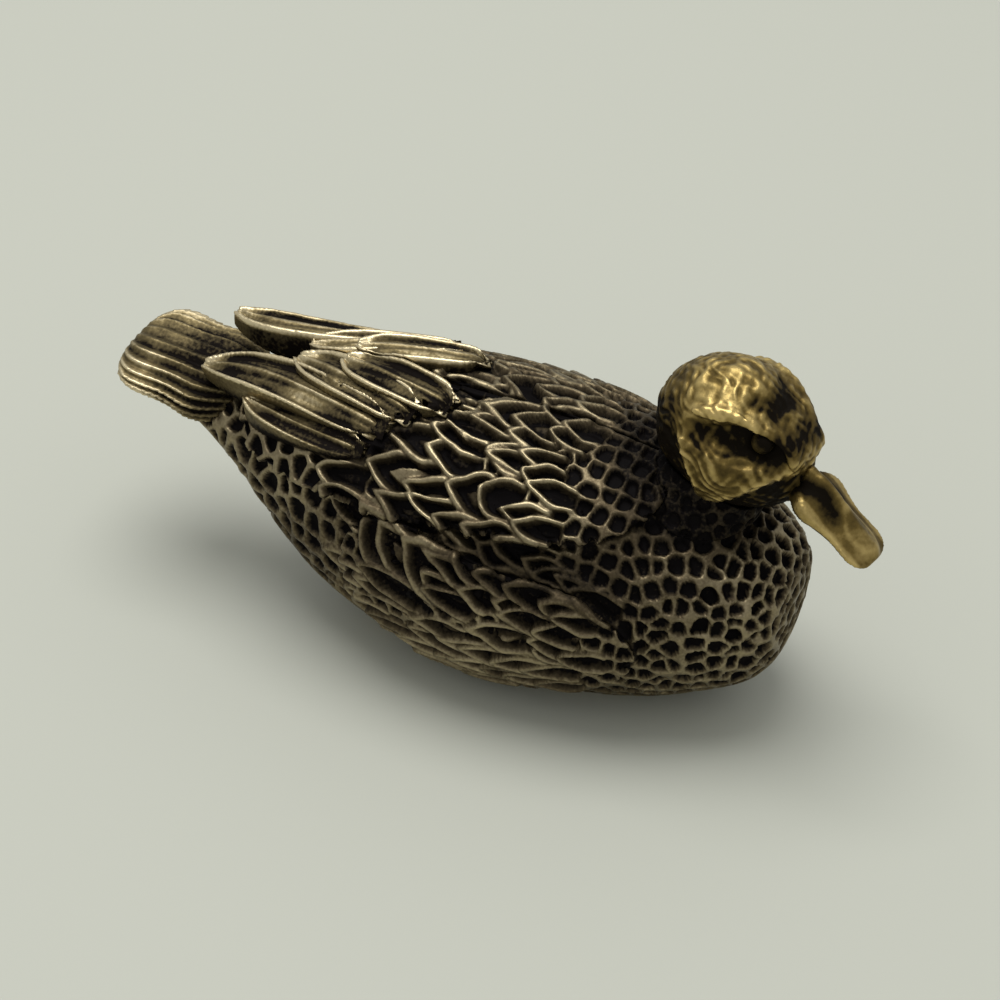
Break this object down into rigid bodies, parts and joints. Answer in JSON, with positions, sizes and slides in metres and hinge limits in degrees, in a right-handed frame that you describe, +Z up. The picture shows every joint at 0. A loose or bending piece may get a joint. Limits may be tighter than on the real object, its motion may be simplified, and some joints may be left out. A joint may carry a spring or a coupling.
{
  "type": "brass duck figurine",
  "caption": "Small cast brass figurine of a swimming duck with feathered relief, head turned slightly aside and a flat underside to stand on.",
  "frame": {"origin": "middle of the flat underside, at the height of the table it stands on", "axes": "+Z up; -Y the way the breast faces, with the tail towards +Y; +X the duck's left"},
  "size_m": [0.0178, 0.0447, 0.0212],
  "materials": {
    "coat_brass": "antiqued cast brass: near-black patina in the recesses, rubbed pale on the feather rims",
    "quill_brass": "antiqued cast brass, rubbed brighter on the long feathers and tail ribs",
    "head_brass": "golden brass with a finely tooled surface, dark only in the eye stripe and creases"
  },
  "bodies": {
    "root": {"body": "coat_brass", "neck": "coat_brass", "head": "head_brass", "upper_bill": "head_brass", "lower_bill": "head_brass", "left_eye": "head_brass", "right_eye": "head_brass", "left_wing": "coat_brass", "right_wing": "coat_brass", "left_flank": "coat_brass", "right_flank": "coat_brass", "left_secondaries": "quill_brass", "right_secondaries": "quill_brass", "left_primaries": "quill_brass", "right_primaries": "quill_brass", "left_long_tertial": "quill_brass", "right_long_tertial": "quill_brass", "left_short_tertial": "quill_brass", "right_short_tertial": "quill_brass", "tail_fan": "quill_brass"}
  },
  "joints": []
}
